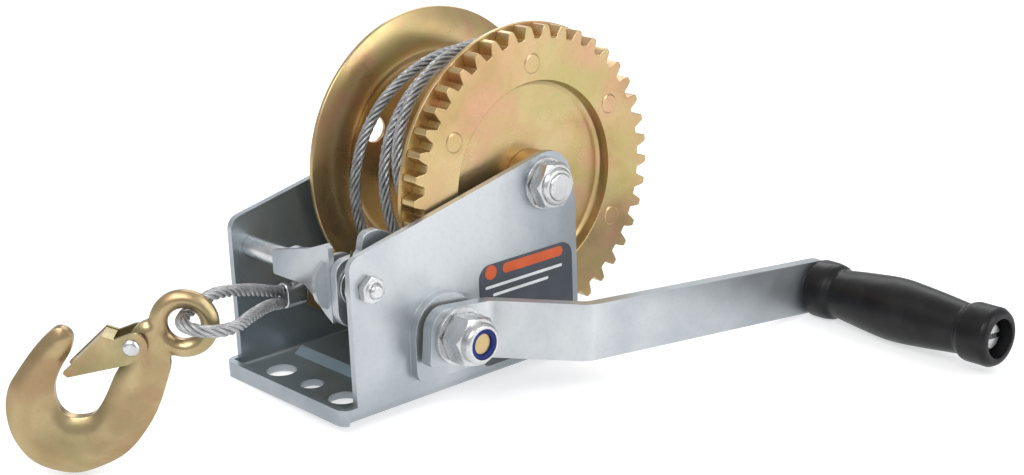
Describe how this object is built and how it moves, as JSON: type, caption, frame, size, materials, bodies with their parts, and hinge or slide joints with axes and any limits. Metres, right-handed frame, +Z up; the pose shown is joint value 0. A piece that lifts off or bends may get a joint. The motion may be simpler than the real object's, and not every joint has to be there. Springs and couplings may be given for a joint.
{
  "type": "boat trailer winch",
  "caption": "Hand-cranked boat trailer winch: spur gear and open drum in a folded steel frame, wire rope with a forged latch hook, offset crank with turning grip.",
  "frame": {"origin": "middle of the front row of base holes, on the underside of the frame", "axes": "+X across the frame towards the crank, +Y from the hook side to the rear, +Z up from the base"},
  "size_m": [0.232, 0.3693, 0.1504],
  "materials": {
    "zinc_plate": "bright zinc plating, bluish silver, slightly cloudy",
    "gold_zinc": "yellow chromate zinc plating with pink and green tints",
    "bright_steel": "bright zinc-plated fasteners",
    "dark_steel": "oiled bare steel",
    "wire_rope": "galvanised stranded wire rope",
    "bronze": "sintered bronze bearing",
    "black_plastic": "moulded black plastic",
    "blue_nylon": "blue nylon locking ring",
    "label_film": "printed film label, plain stripes"
  },
  "bodies": {
    "frame": {"winch_frame": "zinc_plate", "data_label": "label_film", "drum_axle_bolt": "bright_steel", "axle_washers": "bright_steel", "drum_axle_nut": "bright_steel", "axle_sleeve": "dark_steel", "near_shaft_bushing": "bronze", "far_shaft_bushing": "bronze", "pawl_rod": "bright_steel", "pawl_rod_nut": "bright_steel", "pawl_washers": "bright_steel", "pawl_spring": "dark_steel", "pull_cable": "wire_rope", "cable_ferrule": "bright_steel", "cable_loop": "wire_rope"},
    "drum": {"drum_barrel": "gold_zinc", "far_flange": "gold_zinc", "near_flange": "gold_zinc", "drum_gear": "gold_zinc", "gear_rivets": "gold_zinc", "drum_bushings": "bronze", "cable_anchor": "bright_steel", "anchor_screw": "bright_steel", "wound_cable": "wire_rope"},
    "crank": {"drive_shaft": "gold_zinc", "pinion_gear": "dark_steel", "shaft_clip": "dark_steel", "crank_arm": "zinc_plate", "crank_washer": "bright_steel", "crank_nut": "bright_steel", "crank_nut_insert": "blue_nylon", "grip_bolt": "bright_steel", "grip_lock_nut": "bright_steel", "grip_washer": "bright_steel"},
    "grip": {"hand_grip": "black_plastic"},
    "pawl": {"pawl_blade": "zinc_plate", "pawl_web": "zinc_plate"},
    "hook": {"hook_forging": "gold_zinc", "latch_rivet": "bright_steel", "latch_spring": "dark_steel"},
    "latch": {"hook_latch": "gold_zinc"}
  },
  "joints": [
    {"name": "drum_spin", "type": "hinge", "parent": "frame", "child": "drum", "pos_m": [0, 0.0946, 0.0772], "axis": [1, 0, 0], "continuous": true, "deforming": ["pull_cable"]},
    {"name": "crank_spin", "type": "hinge", "parent": "frame", "child": "crank", "pos_m": [0, 0.03551, 0.02861], "axis": [1, 0, 0], "continuous": true},
    {"name": "grip_spin", "type": "hinge", "parent": "crank", "child": "grip", "pos_m": [0.13, 0.22509, 0.00701], "axis": [1, 0, 0], "continuous": true},
    {"name": "pawl_tilt", "type": "hinge", "parent": "frame", "child": "pawl", "pos_m": [0.032, 0.0011, 0.0543], "axis": [1, 0, 0], "range_deg": [-12, 2], "stiffness_Nm_per_rad": 0.2, "deforming": ["pawl_spring"]},
    {"name": "hook_swing", "type": "hinge", "parent": "frame", "child": "hook", "pos_m": [0.0285, -0.07402, 0.06], "axis": [0.7559, -0.6547, 0], "range_deg": [-40, 25]},
    {"name": "latch_swing", "type": "hinge", "parent": "hook", "child": "latch", "pos_m": [0.01593, -0.08854, 0.0503], "axis": [0.7559, -0.6547, 0], "range_deg": [0, 33], "stiffness_Nm_per_rad": 0.02, "springref_deg": -17.19, "deforming": ["latch_spring"]}
  ],
  "couplings": [
    {"joint": "crank_spin", "follows": "drum_spin", "ratio": -4.6667}
  ]
}
